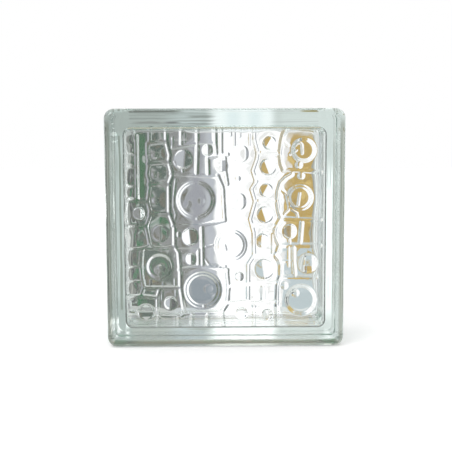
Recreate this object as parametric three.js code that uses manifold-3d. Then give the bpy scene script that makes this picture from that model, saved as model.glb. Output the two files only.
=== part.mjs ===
// A hollow pressed-glass block for walls and partitions.
// Two square cups of glass are pressed in moulds and fused mouth to mouth while hot. Each cup is one
// solid here: a smooth pane in front, a lip round it, and a recessed rim that keys into the mortar.
// The front cup carries a relief of ribs, lenses and stepped roundels on the inside of its pane.
// Millimetres, Z up. The block stands upright on the floor, centred on X and Y, front pane towards -Y.
import * as THREE from "three";
import { mergeVertices } from "three/addons/utils/BufferGeometryUtils.js";
import Module from "manifold-3d";

// ---- Driving dimensions ----

const blockWidth = 190;
const blockHeight = 190;
const blockDepth = 80;

const paneThickness = 7.5;
const faceCornerRadius = 8; // corners of the block, seen from the front
const faceEdgeRadius = 6; // rounding between the pane and the side of the lip
const landWidth = 7; // flat band of the lip that the mortar joint is measured from
const shoulderWidth = 4; // slope from the lip down to the rim
const rimRecess = 4; // depth of the mortar key below the lips
const rimThickness = 8.5; // wall of the hollow under the mortar key, at the seam
const wallDraft = 2; // the mouth of a cup is this much wider, each side, than its bottom
const cavityCornerRadius = 4; // corners of the hollow, seen from the front
const cavityFillet = 2.5; // between the pane and the walls of the hollow
const seamBeadHeight = 1.5; // glass squeezed out where the two mouths were fused
const seamBeadWidth = 5; // share of that bead on each cup, along Y

const cornerSteps = 6;
const edgeSteps = 4;
const filletSteps = 3;

// Ribs: width of the foot, width of the top and height.
const broadRib = { width: 4.2, top: 0.5, height: 0.85 };
const flatRib = { width: 3.2, top: 1.8, height: 0.55 };
const fineRib = { width: 2.2, top: 0.3, height: 0.45 };

const lensLip = 0.05; // height of a lens at the ends of its slopes
const lensTaper = 0.93; // a lens's radius at the height of its ridge against its foot
const lensSegments = 18;
const domeSteps = 2;
const domeSegments = 12;
const roundelSegments = 24;
const stepWidth = 1.7; // slope of a roundel's step
const stepHeight = 0.75;
const discRise = 0.3; // rise of a roundel's disc to its middle
const rootDepth = 1; // how far the relief is carried down into the pane, so that it is one with it

const beadShoulder = 0.8; // share of the bead's height halfway along it

const glassColour = 0xcfe2d8;

// ---- Derived sizes ----

const halfWidth = blockWidth / 2;
const halfHeight = blockHeight / 2;
const halfDepth = blockDepth / 2;
const mouthHalfWidth = halfWidth - rimRecess - rimThickness;
const mouthHalfHeight = halfHeight - rimRecess - rimThickness;
const cavityBottom = -halfDepth + paneThickness; // inner side of the front pane, along Y
const fieldHalfWidth = mouthHalfWidth - wallDraft - cavityFillet;
const fieldHalfHeight = mouthHalfHeight - wallDraft - cavityFillet;

// ---- The relief, as it is laid out on its mould ----
// Places are millimetres right of and above the middle of the pane, for a field of this half width.

const layoutHalf = 77;

// Broad ribs rise to a ridge.
const broadRibs = [
  [[-46.4, 81], [-46.5, 70], [-43.8, 59], [-44.6, 54], [-42, 43.5], [-44.6, 36.5], [-44.8, 13],
    [-40.8, 2], [-40.8, -13.5], [-37.6, -18.5], [-36.3, -35], [-36.3, -47], [-33.4, -66], [-34.8, -69.5]],
  [[-34.4, 81], [-34.6, 67.5]],
  [[-21.8, 81], [-21.8, 69], [-22, 60], [-22.6, 44]],
  [[-8, 81], [-7.7, 70], [-6.8, 60]],
  [[-13.8, 56.5], [-13.4, 44]],
  [[-18.9, 1.5], [-18.3, -29]],
  [[-21.6, -17], [-21.5, -28]],
  [[48.5, 78], [46.2, 75], [45, 70], [43.6, 60], [44.8, 52], [46.5, 47.5]],
  [[53, 43.5], [48.5, 41], [44.3, 37], [42.2, 30], [41.7, 22], [42.8, 14], [44.5, 9.5]],
  [[44, 8], [40.5, 1.5], [39.4, -3], [41, -8], [43.3, -13], [41.5, -19], [39.8, -21], [43, -25],
    [44.4, -29], [44.3, -38]],
  [[43.5, -40], [42, -46], [41.6, -60], [42.3, -81]],
  [[61.3, 5], [60, -12]],
  [[54.6, -15], [54.8, -25], [56, -38]],
  [[-53.2, -49], [-54.6, -54], [-54.7, -64], [-53.8, -70], [-55, -78]],
  [[-27, -69], [-27.8, -79]],
  [[-14.2, -69], [-15, -79]],
  [[-38, -71.5], [-38, -79]],
];

// Flat ribs have a level top between two steep sides.
const flatRibs = [
  [[-59.2, 81], [-59.3, 70], [-61, 66], [-61, 60], [-59.9, 53], [-61.2, 44], [-59.4, 36.5], [-61.3, 23],
    [-59.3, 12.5], [-62.8, 2.5], [-60, -13]],
  [[-6, 42], [-2.4, 34]],
  [[-2, 32], [-0.9, 9]],
  [[-0.3, 56.5], [-0.3, 48.5], [1.5, 36]],
  [[-3.3, 79], [-3.3, 60.5]],
  [[23, 81], [23.1, 71], [25.8, 60.5], [25.2, 56], [21.8, 46.5], [24.6, 38]],
  [[24.6, 38], [20.8, 32], [23.8, 22], [19.8, 8], [22.6, -3], [23, -21], [18.3, -28.5], [18.1, -58.8]],
  [[1, -33], [2.2, -47], [1.3, -60], [-3, -67], [-1.5, -81]],
  [[-66.3, -16.5], [-67.3, -29], [-66.6, -40], [-65.3, -46.5], [-67.8, -53.5]],
  [[-69, 74], [-69, 25]],
  [[-76, 24.3], [-70, 23.6], [-62, 22]],
  [[-76, 2.7], [-64, 2.7]],
  [[-77, -15.5], [-68, -15.6], [-61, -13.8]],
  [[-77, -54], [-64, -54], [-54.5, -55.2]],
  [[-61, 68.2], [-48, 69.5]],
  [[-61, 52.3], [-46, 53.5]],
  [[-60.5, 36], [-46, 35.8]],
  [[-60, 12.6], [-46, 12.5]],
  [[-60.8, -14], [-51, -15.3], [-42, -14]],
  [[-65, -47], [-37.5, -47.3]],
  [[-41.5, 65], [-35, 66], [-24, 68.3]],
  [[-43, 44.3], [-32, 43.6], [-20, 42.8], [-6, 42]],
  [[-22, 69], [-8, 68.8]],
  [[-13, 57], [-6.3, 58.8], [2, 59.5]],
  [[-42, 2.7], [-22, 2.7], [-10, 5], [-0.6, 7.2]],
  [[-38.5, -16.5], [-18, -16.3]],
  [[-37.3, -32.6], [-29, -31.2], [-20, -29.8], [-8, -31], [1.2, -33]],
  [[-36, -69], [-27, -67.6], [-3.5, -67.4]],
  [[-53.5, -69.5], [-36, -70]],
  [[29, 60.8], [43.5, 60.4]],
  [[25, 41], [42, 41]],
  [[27, 22.8], [41, 22.5]],
  [[22, 3], [40, 2]],
  [[23.2, -21.7], [40, -21]],
  [[2, -46.6], [18.2, -44.6], [31, -44.8], [42, -43]],
  [[1, -60], [18, -59], [23, -60.6], [30, -59], [42, -59]],
  [[46.5, 47], [60, 46.5], [75, 45.2]],
  [[45, 8.8], [58, 7.8], [75, 7.2]],
  [[43.5, -13.2], [75, -13.3]],
  [[44.5, -38.6], [73, -39]],
  [[30.3, -45], [30, -59]],
  [[23, -61], [23, -79]],
];

const fineRibs = [
  [[-77, 60], [-70, 60]],
  [[-77, 51.5], [-70, 51.5]],
  [[-77, 44.5], [-70, 44.5]],
  [[-77, 34.2], [-70, 34.2]],
  [[-74.2, 34], [-74.2, 25]],
  [[-77, -30], [-68, -30]],
  [[-77, -41.7], [-66, -41.7]],
  [[-72.5, 78], [-71, 71]],
  [[-68, -18.5], [-68.7, -28]],
  [[-32, 76], [-32, 69]],
  [[-41.5, 73], [-41.5, 66]],
  [[-40.2, 54], [-39, 51.3], [-37, 49.7], [-34, 48.3], [-33.5, 45.3]],
  [[-39.2, 40], [-41, 26], [-41.2, 18], [-39.4, 12], [-40.2, 8]],
  [[-40.6, -40], [-40.6, -46]],
  [[-50, -43], [-50, -47]],
  [[-60.2, -41], [-60.2, -46]],
  [[-40, -49], [-40, -54]],
  [[-51, -50], [-51, -57]],
  [[-65, -41.5], [-65, -46]],
  [[-63, 3], [-61.5, -6]],
  [[-41, -71.5], [-41, -79]],
  [[7.5, 81], [7.4, 66]],
  [[4.4, 79], [4.6, 74]],
  [[12, 79], [11.8, 73]],
  [[19.3, 76], [19.3, 66]],
  [[-0.5, -13], [0.5, -17]],
  [[-16, -14], [-9.5, -12.7]],
  [[-16.3, -24], [-13.5, -28.5], [-6, -29.6], [0, -30]],
  [[30.5, -2.5], [38.5, -2.6]],
  [[37.8, -4], [37.8, -20]],
  [[50.8, -15], [50.8, -30]],
  [[51.2, -8.5], [52, -13]],
  [[45.5, -26], [54, -26]],
  [[52, 17], [54, 14.8], [57.3, 12.8], [58, 9]],
  [[45, 31], [48.3, 28.5], [49.4, 24], [50.6, 19], [51, 15.5], [47, 12]],
  [[46.8, 69], [50.3, 66.3]],
  [[55.3, 65.5], [57, 67.8], [59.5, 68.8], [61.2, 67], [61.6, 60]],
  [[51.5, 59.3], [57, 62.6]],
  [[59.6, 28.5], [58.3, 19]],
  [[32.4, -48], [32.4, -57]],
  [[-76, -59], [-75.5, -66], [-72.5, -66.5]],
];

// Lenses are round buttons with two slopes that meet in a ridge: right, up, radius, lean of the ridge from
// upright in degrees, its place across as a share of the radius, and the rise of the slopes.
const lenses = [
  [-33, 56, 7.4, 5, 0.1, 0.2],
  [-14, 63, 4.4, 0, 0.1, 0.32],
  [-2.5, 50.5, 5, 0, 0, 0.2],
  [35.4, 68.5, 5.4, 30, -0.12, 0.25],
  [34.1, 49.4, 6.6, -21, -0.12, 0.25],
  [32.8, 31, 5.4, 29, -0.1, 0.25],
  [31.9, 11.4, 6.6, -18, -0.12, 0.25],
  [30, -9.3, 5.6, 5, -0.1, 0.22],
  [31.3, -32.4, 8, -8, -0.1, 0.22],
  [51.6, -2, 5.7, 0, 0.2, 0.22],
  [-69.4, 13, 5.9, -3, 0.3, 0.34],
  [-52, -2, 6.6, 0, 0, 0.14],
  [-28, -6, 6.7, -6, -0.05, 0.3],
  [-27.5, -24, 4.5, 0, 0, 0.3],
  [-64, -67, 6.7, 90, 0, 0.2],
  [-44.5, -59.8, 5.3, 5, 0, 0.3],
  [12, 60, 7, 0, 0.6, 0.12],
  [10, 22, 7, 0, 0.6, 0.12],
  [11, -38.3, 3.9, 0, 0.2, 0.3],
  [-37.6, -4.2, 2.4, 0, 0, 0.35],
  [34, -69.4, 4.5, -20, 0, 0.3],
];

// right, up, radius, rise
const domes = [
  [66.5, -28, 8, 1.7],
  [59.3, 51, 3.1, 0.9],
  [60.6, 42.3, 3, 0.8],
  [47.5, -46, 3, 0.6],
  [10, 40.5, 2.6, 0.7],
  [12.9, -68, 5, 1.2],
  [-55.5, 23, 2.7, 0.7],
  [-56.2, 43.7, 2.2, 0.5],
  [-52.3, 43.5, 1.8, 0.4],
  [-55.5, 58.8, 3, 0.5],
  [10.6, 68.3, 1.3, 0.2],
  [8.2, 30.5, 1.3, 0.2],
  [29.3, -4.2, 1.5, 0.4],
  [56.5, -52.3, 3.4, 0.7],
  [-17.2, -62.4, 1.6, 0.3],
  [-22, 8.4, 1.8, 0.3],
  [-11.5, -49, 4, 0.5],
  [-52.3, -40.2, 1.3, 0.3],
  [32, -40.3, 1.3, 0.3],
  [-53, -33, 4.5, 0.6],
];

// right, up, outer radius of the first step, of the second step, and of the disc
const roundels = [
  [-23.5, 23.5, 15.6, 13.6, 8],
  [-18.4, -49.2, 15.2, 12.7, 8],
  [60.9, -57.6, 13, 11.2, 8],
  [60.6, 25.2, 10.9, 8.6, 6],
  [62.6, 62.7, 10.2, 8.4, 6],
  [-52.5, -28.8, 11.6, 10.4, 7],
  [4.5, -13, 13.2, 11, 8],
];

// ---- Solids ----

const wasm = await Module();
wasm.setup();

function solidOf(geometry) {
  const bare = new THREE.BufferGeometry();
  bare.setAttribute("position", geometry.getAttribute("position"));
  if (geometry.index) bare.setIndex(geometry.index);
  const merged = mergeVertices(bare, 1e-4);
  const mesh = new wasm.Mesh({
    numProp: 3,
    vertProperties: new Float32Array(merged.attributes.position.array),
    triVerts: new Uint32Array(merged.index.array),
  });
  return new wasm.Manifold(mesh);
}

function geometryOf(solid) {
  const mesh = solid.getMesh();
  const geometry = new THREE.BufferGeometry();
  geometry.setAttribute("position", new THREE.BufferAttribute(mesh.vertProperties, 3));
  geometry.setIndex(new THREE.BufferAttribute(mesh.triVerts, 1));
  geometry.computeVertexNormals();
  return geometry;
}

// ---- One cup: a loft through rounded outlines, from its face out to its mouth and back inside ----

function roundedOutline(outline) {
  const points = [];
  const corners = [[1, 1], [-1, 1], [-1, -1], [1, -1]];
  corners.forEach(([signX, signZ], corner) => {
    for (let step = 0; step <= cornerSteps; step++) {
      const turn = (corner + step / cornerSteps) * (Math.PI / 2);
      const x = signX * (outline.halfX - outline.radius) + outline.radius * Math.cos(turn);
      const z = signZ * (outline.halfZ - outline.radius) + outline.radius * Math.sin(turn);
      points.push(new THREE.Vector3(x, outline.y, z));
    }
  });
  return points;
}

function outside(inset, depth) {
  return {
    halfX: halfWidth - inset,
    halfZ: halfHeight - inset,
    radius: faceCornerRadius - inset,
    y: depth - halfDepth,
  };
}

function inside(inset, y) {
  return {
    halfX: mouthHalfWidth - inset,
    halfZ: mouthHalfHeight - inset,
    radius: cavityCornerRadius + cavityFillet - Math.max(inset - wallDraft, 0),
    y,
  };
}

function cupOutlines() {
  const outlines = [];
  for (let step = 0; step <= edgeSteps; step++) {
    const turn = (step / edgeSteps) * (Math.PI / 2);
    outlines.push(outside(faceEdgeRadius * (1 - Math.sin(turn)), faceEdgeRadius * (1 - Math.cos(turn))));
  }
  const landEnd = faceEdgeRadius + landWidth;
  outlines.push(outside(0, landEnd));
  outlines.push(outside(rimRecess, landEnd + shoulderWidth));
  outlines.push(outside(rimRecess, halfDepth - seamBeadWidth));
  outlines.push(outside(rimRecess - seamBeadHeight * beadShoulder, halfDepth - seamBeadWidth / 2));
  outlines.push(outside(rimRecess - seamBeadHeight, halfDepth));
  outlines.push(inside(0, 0));
  for (let step = 0; step <= filletSteps; step++) {
    const turn = (step / filletSteps) * (Math.PI / 2);
    const inset = wallDraft + cavityFillet * (1 - Math.cos(turn));
    outlines.push(inside(inset, cavityBottom + cavityFillet * (1 - Math.sin(turn))));
  }
  return outlines;
}

function loft(outlines) {
  const rings = outlines.map(roundedOutline);
  const count = rings[0].length;
  const points = rings.flat();
  const faces = [];
  for (let ring = 0; ring + 1 < rings.length; ring++) {
    for (let i = 0; i < count; i++) {
      const a = ring * count + i;
      const b = ring * count + ((i + 1) % count);
      faces.push(a, b + count, b, a, a + count, b + count);
    }
  }
  [0, rings.length - 1].forEach((ring) => {
    const middle = points.length;
    points.push(new THREE.Vector3(0, outlines[ring].y, 0));
    for (let i = 0; i < count; i++) {
      const a = ring * count + i;
      const b = ring * count + ((i + 1) % count);
      faces.push(...(ring === 0 ? [middle, a, b] : [middle, b, a]));
    }
  });
  const geometry = new THREE.BufferGeometry().setFromPoints(points);
  geometry.setIndex(faces);
  return geometry;
}

// ---- Relief on the inside of the front pane ----

function onField([right, up]) {
  return new THREE.Vector2((right * fieldHalfWidth) / layoutHalf, (up * fieldHalfHeight) / layoutHalf);
}

// The outline of a rib: its middle line widened to both sides, with mitred bends.
function ribShape(line, width) {
  const middle = line.map(onField);
  const left = [];
  const right = [];
  middle.forEach((point, i) => {
    const before = middle[Math.max(i - 1, 0)];
    const after = middle[Math.min(i + 1, middle.length - 1)];
    const into = i > 0 ? point.clone().sub(before).normalize() : after.clone().sub(point).normalize();
    const out = i < middle.length - 1 ? after.clone().sub(point).normalize() : into;
    const along = into.clone().add(out).normalize();
    const reach = width / 2 / Math.max(along.dot(into), 0.5);
    left.push(new THREE.Vector2(point.x - along.y * reach, point.y + along.x * reach));
    right.push(new THREE.Vector2(point.x + along.y * reach, point.y - along.x * reach));
  });
  return new THREE.Shape([...left, ...right.reverse()]);
}

function rib(line, size) {
  const slope = (size.width - size.top) / 2;
  const geometry = new THREE.ExtrudeGeometry(ribShape(line, size.width), {
    depth: rootDepth,
    bevelEnabled: true,
    bevelThickness: size.height,
    bevelSize: slope,
    bevelOffset: -slope,
    bevelSegments: 1,
  });
  // Extruded along +Z from a drawing in X and Y, then turned so that the drawing stands up and faces +Y.
  geometry.rotateX(Math.PI / 2);
  geometry.translate(0, cavityBottom, 0);
  return geometry;
}

function atPlace(geometry, right, up) {
  const place = onField([right, up]);
  return geometry.translate(place.x, cavityBottom, place.y);
}

function turned(profile, segments) {
  const points = profile.map(([radius, height]) => new THREE.Vector2(radius, height));
  return new THREE.LatheGeometry(points, segments);
}

// A button with the plain top, cut by the two planes of its roof.
function lens([right, up, radius, lean, place, rise]) {
  const ridgeHeight = rise * radius + lensLip;
  const button = new THREE.CylinderGeometry(radius * lensTaper, radius, ridgeHeight + rootDepth, lensSegments);
  button.translate(0, (ridgeHeight - rootDepth) / 2, 0);
  const turn = THREE.MathUtils.degToRad(lean);
  const cut = [1, -1].reduce((body, side) => {
    const slope = rise / (1 + side * place);
    const normal = new THREE.Vector3(side * slope * Math.cos(turn), -1, -side * slope * Math.sin(turn));
    return body.trimByPlane(normal.toArray(), -(slope * radius + lensLip) / normal.length());
  }, solidOf(button));
  const middle = onField([right, up]);
  return cut.translate([middle.x, cavityBottom, middle.y]);
}

function dome([right, up, radius, rise]) {
  const ball = (radius * radius + rise * rise) / (2 * rise);
  const spread = Math.asin(radius / ball);
  const profile = [[0, -rootDepth], [radius, -rootDepth]];
  for (let step = domeSteps; step >= 0; step--) {
    const turn = (step / domeSteps) * spread;
    profile.push([ball * Math.sin(turn), ball * Math.cos(turn) - ball + rise]);
  }
  return solidOf(atPlace(turned(profile, domeSegments), right, up));
}

// Two steps up from the pane, and a disc that swells inside them.
function roundel([right, up, first, second, disc]) {
  const climbed = (radius, edge) => THREE.MathUtils.clamp((edge - radius) / stepWidth, 0, 1);
  const heightAt = (radius) => {
    const steps = climbed(radius, first) + climbed(radius, second);
    const swelling = Math.max(1 - (radius / disc) ** 2, 0);
    return stepHeight * steps + discRise * swelling;
  };
  const radii = [first, second, first - stepWidth, second - stepWidth, disc / 2, 0];
  radii.sort((a, b) => b - a);
  const profile = [[0, -rootDepth], [first, -rootDepth], ...radii.map((radius) => [radius, heightAt(radius)])];
  return solidOf(atPlace(turned(profile, roundelSegments), right, up));
}

// ---- Assembly ----

const glass = new THREE.MeshStandardMaterial({
  color: glassColour,
  roughness: 0.04,
  metalness: 0,
  transparent: true,
  opacity: 0.55,
});

const cup = solidOf(loft(cupOutlines()));
const relief = [
  ...broadRibs.map((line) => solidOf(rib(line, broadRib))),
  ...flatRibs.map((line) => solidOf(rib(line, flatRib))),
  ...fineRibs.map((line) => solidOf(rib(line, fineRib))),
  ...lenses.map(lens),
  ...domes.map(dome),
  ...roundels.map(roundel),
];
const patternedCup = relief.reduce((body, piece) => body.add(piece), cup);

const frontHalf = new THREE.Mesh(geometryOf(patternedCup), glass);
frontHalf.name = "front_half";

const backHalf = new THREE.Mesh(geometryOf(cup), glass);
backHalf.name = "back_half";
backHalf.rotation.z = Math.PI;

const block = new THREE.Group();
block.position.z = halfHeight;
block.add(frontHalf, backHalf);

export default block;
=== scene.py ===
"""Pressed-glass building block: the fused glass body with its relief, and a plain studio round it."""

import math

import bpy
import numpy as np
from mathutils import Matrix, Vector


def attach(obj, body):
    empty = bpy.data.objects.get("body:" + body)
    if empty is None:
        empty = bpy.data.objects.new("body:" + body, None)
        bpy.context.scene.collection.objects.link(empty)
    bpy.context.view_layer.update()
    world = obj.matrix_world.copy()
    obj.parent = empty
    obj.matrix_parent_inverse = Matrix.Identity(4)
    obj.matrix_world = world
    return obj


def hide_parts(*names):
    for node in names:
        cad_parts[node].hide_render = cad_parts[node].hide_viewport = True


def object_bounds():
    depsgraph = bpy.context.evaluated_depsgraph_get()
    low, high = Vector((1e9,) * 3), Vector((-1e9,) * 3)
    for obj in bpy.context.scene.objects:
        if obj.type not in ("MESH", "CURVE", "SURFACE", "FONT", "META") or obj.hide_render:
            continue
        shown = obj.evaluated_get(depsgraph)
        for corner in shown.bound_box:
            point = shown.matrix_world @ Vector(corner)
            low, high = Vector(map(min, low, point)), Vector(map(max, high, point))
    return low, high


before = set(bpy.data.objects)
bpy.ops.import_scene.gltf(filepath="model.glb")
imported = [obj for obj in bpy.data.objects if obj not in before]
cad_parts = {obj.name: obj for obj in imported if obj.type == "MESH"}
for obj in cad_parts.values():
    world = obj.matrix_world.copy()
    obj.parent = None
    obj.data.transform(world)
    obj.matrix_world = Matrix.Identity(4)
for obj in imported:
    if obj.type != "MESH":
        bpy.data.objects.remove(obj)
cad_low, cad_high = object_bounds()

bl_info = {
    "name": "Glass Block",
    "version": (1, 0, 0),
    "blender": (4, 5, 0),
    "location": "View3D > Sidebar > Glass Block",
    "description": "Builds a hollow pressed-glass block with a relief pane, and a studio for it",
    "category": "Add Mesh",
}

MM = 0.001

# The frame gives the block's outer size; everything else here is set out from it.
BLOCK_WIDTH = (cad_high.x - cad_low.x) / MM
BLOCK_DEPTH = (cad_high.y - cad_low.y) / MM
BLOCK_HEIGHT = (cad_high.z - cad_low.z) / MM

# ---- The relief, as it is laid out on its mould ----
# Places are millimetres right of and above the middle of the pane, for a field of this half width.

LAYOUT_HALF = 77.0

# Broad ribs rise to a ridge, over a foot as wide as the rib.
BROAD_RIBS = [
    [(-45.5, 81), (-45.6, 68.5), (-43, 57.7), (-43.8, 52.8), (-41.2, 42.5), (-43.8, 35.6), (-43.9, 12.5),
     (-40, 1.7), (-40, -13.5), (-36.9, -18.4), (-35.6, -34.6), (-35.6, -46.4), (-32.8, -65.1),
     (-34.1, -68.5)],
    [(-33.7, 81), (-33.9, 66)],
    [(-21.4, 81), (-21.4, 67.5), (-21.6, 58.7), (-22.2, 43)],
    [(-7.8, 81), (-7.6, 68.5), (-6.7, 58.7)],
    [(-13.5, 55.2), (-13.1, 43)],
    [(-18.5, 1.2), (-18, -28.7)],
    [(-21.2, -16.9), (-21.1, -27.7)],
    [(47.6, 78), (45.3, 73.4), (44.1, 68.5), (42.8, 58.7), (43.9, 50.8), (45.6, 46.4)],
    [(52, 42.5), (47.6, 40), (43.5, 36.1), (41.4, 29.2), (40.9, 21.4), (42, 13.5), (43.7, 9.1)],
    [(43.2, 7.6), (39.7, 1.2), (38.7, -3.2), (40.2, -8.1), (42.5, -13), (40.7, -18.9), (39, -20.9),
     (42.2, -24.8), (43.6, -28.7), (43.5, -37.6)],
    [(42.7, -39.5), (41.2, -45.4), (40.8, -59.2), (41.5, -81)],
    [(60.1, 4.7), (58.9, -12)],
    [(53.6, -15), (53.8, -24.8), (54.9, -37.6)],
    [(-52.3, -48.4), (-53.7, -53.3), (-53.8, -63.1), (-52.9, -69), (-54.1, -78)],
    [(-26.5, -68), (-27.3, -79)],
    [(-13.9, -68), (-14.7, -79)],
    [(-37.3, -70.5), (-37.3, -79)],
]

# Flat ribs have a level top between two steep sides.
FLAT_RIBS = [
    [(-58.3, 81), (-58.4, 68.5), (-60.1, 64.6), (-60.1, 58.7), (-59, 51.8), (-60.3, 43), (-58.5, 35.6),
     (-60.4, 22.3), (-58.4, 12), (-61.9, 2.2), (-59.1, -13)],
    [(-5.9, 41), (-2.4, 33.1)],
    [(-2, 31.2), (-0.88, 8.6)],
    [(-0.29, 55.2), (-0.29, 47.4), (1.5, 35.1)],
    [(-3.2, 79), (-3.2, 59.2)],
    [(22.6, 81), (22.7, 69.5), (25.3, 59.2), (24.7, 54.7), (21.4, 45.4), (24.1, 37.1)],
    [(24.1, 37.1), (20.4, 31.2), (23.3, 21.4), (19.4, 7.6), (22.2, -3.2), (22.6, -20.9), (18, -28.2),
     (17.8, -58)],
    [(0.98, -32.7), (2.2, -46.4), (1.3, -59.2), (-2.9, -66), (-1.5, -81)],
    [(-65.4, -16.5), (-66.4, -28.7), (-65.7, -39.5), (-64.4, -45.9), (-66.9, -52.8)],
    [(-68.8, 72.4), (-68.8, 24.3)],
    [(-76, 23.6), (-69.1, 22.9), (-61.1, 21.4)],
    [(-76, 2.4), (-63.1, 2.4)],
    [(-77, -15.5), (-67.1, -15.6), (-60.1, -13.8)],
    [(-77, -53.3), (-63.1, -53.3), (-53.6, -54.5)],
    [(-60.1, 66.7), (-47.1, 68)],
    [(-60.1, 51.1), (-45.1, 52.3)],
    [(-59.6, 35.1), (-45.1, 34.9)],
    [(-59.1, 12.1), (-45.1, 12)],
    [(-59.9, -14), (-50.1, -15.3), (-41.2, -14)],
    [(-64.1, -46.4), (-36.8, -46.7)],
    [(-40.7, 63.6), (-34.3, 64.6), (-23.5, 66.8)],
    [(-42.2, 43.3), (-31.4, 42.6), (-19.6, 41.8), (-5.9, 41)],
    [(-21.6, 67.5), (-7.8, 67.3)],
    [(-12.8, 55.7), (-6.2, 57.5), (2, 58.2)],
    [(-41.2, 2.4), (-21.6, 2.4), (-9.8, 4.7), (-0.59, 6.8)],
    [(-37.8, -16.5), (-17.7, -16.3)],
    [(-36.6, -32.3), (-28.4, -30.9), (-19.6, -29.5), (-7.8, -30.7), (1.2, -32.7)],
    [(-35.3, -68), (-26.5, -66.6), (-3.4, -66.4)],
    [(-52.6, -68.5), (-35.3, -69)],
    [(28.4, 59.5), (42.7, 59.1)],
    [(24.5, 40), (41.2, 40)],
    [(26.5, 22.1), (40.2, 21.8)],
    [(21.6, 2.7), (39.2, 1.7)],
    [(22.8, -21.6), (39.2, -20.9)],
    [(2, -46), (17.9, -44), (30.4, -44.2), (41.2, -42.5)],
    [(0.98, -59.2), (17.7, -58.2), (22.6, -59.8), (29.4, -58.2), (41.2, -58.2)],
    [(45.6, 45.9), (58.9, 45.4), (75, 44.1)],
    [(44.1, 8.4), (56.9, 7.4), (75, 6.8)],
    [(42.7, -13.2), (75, -13.3)],
    [(43.7, -38.2), (71.6, -38.5)],
    [(29.7, -44.4), (29.4, -58.2)],
    [(22.6, -60.2), (22.6, -79)],
]

# Fine ribs are made as broad ones are, only lower and narrower.
FINE_RIBS = [
    [(-77, 58.7), (-69.1, 58.7)],
    [(-77, 48.5), (-69.1, 48.5)],
    [(-77, 33.5), (-69.1, 33.5)],
    [(-77, -29.7), (-67.1, -29.7)],
    [(-77, -41.2), (-65.1, -41.2)],
    [(-71.6, 78), (-70.1, 69.5)],
    [(-67.1, -18.4), (-67.8, -27.7)],
    [(-31.4, 74.4), (-31.4, 67.5)],
    [(-40.7, 71.4), (-40.7, 64.6)],
    [(-39.4, 52.8), (-38.3, 50.1), (-36.3, 48.6), (-33.4, 47.2), (-32.9, 44.2)],
    [(-38.5, 39), (-40.2, 25.3), (-40.4, 17.4), (-38.7, 11.5), (-39.4, 7.6)],
    [(-39.8, -39.5), (-39.8, -45.4)],
    [(-49.1, -42.5), (-49.1, -46.4)],
    [(-59.3, -40.5), (-59.3, -45.4)],
    [(-39.2, -48.4), (-39.2, -53.3)],
    [(-50.1, -49.4), (-50.1, -56.2)],
    [(-64.1, -41), (-64.1, -45.4)],
    [(-62.1, 2.7), (-60.6, -6.1)],
    [(-40.2, -70.5), (-40.2, -79)],
    [(7.4, 81), (7.3, 64.6)],
    [(4.3, 79), (4.5, 72.4)],
    [(11.8, 79), (11.6, 71.4)],
    [(18.9, 74.4), (18.9, 64.6)],
    [(-0.49, -13), (0.49, -16.9)],
    [(-15.7, -14), (-9.3, -12.7)],
    [(-16, -23.8), (-13.2, -28.2), (-5.9, -29.3), (0, -29.7)],
    [(29.9, -2.7), (37.8, -2.8)],
    [(37.1, -4.2), (37.1, -19.9)],
    [(49.8, -15), (49.8, -29.7)],
    [(50.2, -8.6), (51, -13)],
    [(44.6, -25.8), (53, -25.8)],
    [(51, 16.4), (53, 14.3), (56.2, 12.3), (56.9, 8.6)],
    [(44.1, 30.2), (47.4, 27.7), (48.5, 23.3), (49.6, 18.4), (50, 15), (46.1, 11.5)],
    [(45.9, 67.5), (49.3, 64.9)],
    [(54.2, 64.1), (55.9, 66.3), (58.4, 67.3), (60, 65.5), (60.4, 58.7)],
    [(50.5, 58), (55.9, 61.2)],
    [(58.5, 27.7), (57.2, 18.4)],
    [(31.8, -47.4), (31.8, -56.2)],
    [(-76, -58.2), (-75.5, -65.1), (-71.6, -65.6)],
]

# right, up, radius, lean of the ridge from upright in degrees, place of the ridge across, slope of the sides
LENSES = [
    (-32.4, 54.7, 7.4, 5, 0.1, 0.2), (-13.7, 61.6, 4.4, 0, 0.1, 0.32), (-2.5, 49.3, 5, 0, 0, 0.2),
    (34.7, 67, 5.4, 30, -0.12, 0.25), (33.5, 48.3, 6.6, -21, -0.12, 0.25),
    (32.2, 30.2, 5.4, 29, -0.1, 0.25), (31.3, 10.9, 6.6, -18, -0.12, 0.25),
    (29.4, -9.4, 5.6, 5, -0.1, 0.22), (30.7, -32.1, 8, -8, -0.1, 0.22), (50.6, -2.2, 5.7, 0, 0.2, 0.22),
    (-67.8, 12.5, 4.9, -3, 0.24, 0.37), (-51.1, -3.5, 6.6, 0, 0, 0.14),
    (-27.5, -6.1, 6.7, -6, -0.05, 0.3), (-27, -23.8, 4.5, 0, 0, 0.3), (-63.1, -66, 6.7, 90, 0, 0.2),
    (-43.7, -59, 5.3, 5, 0, 0.3), (11.8, 58.7, 7, 0, 0.6, 0.12), (9.8, 21.4, 7, 0, 0.6, 0.12),
    (10.8, -37.9, 3.9, 0, 0.2, 0.3), (-36.9, -4.4, 2.4, 0, 0, 0.35), (33.4, -68.4, 4.5, -20, 0, 0.3),
]

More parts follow.
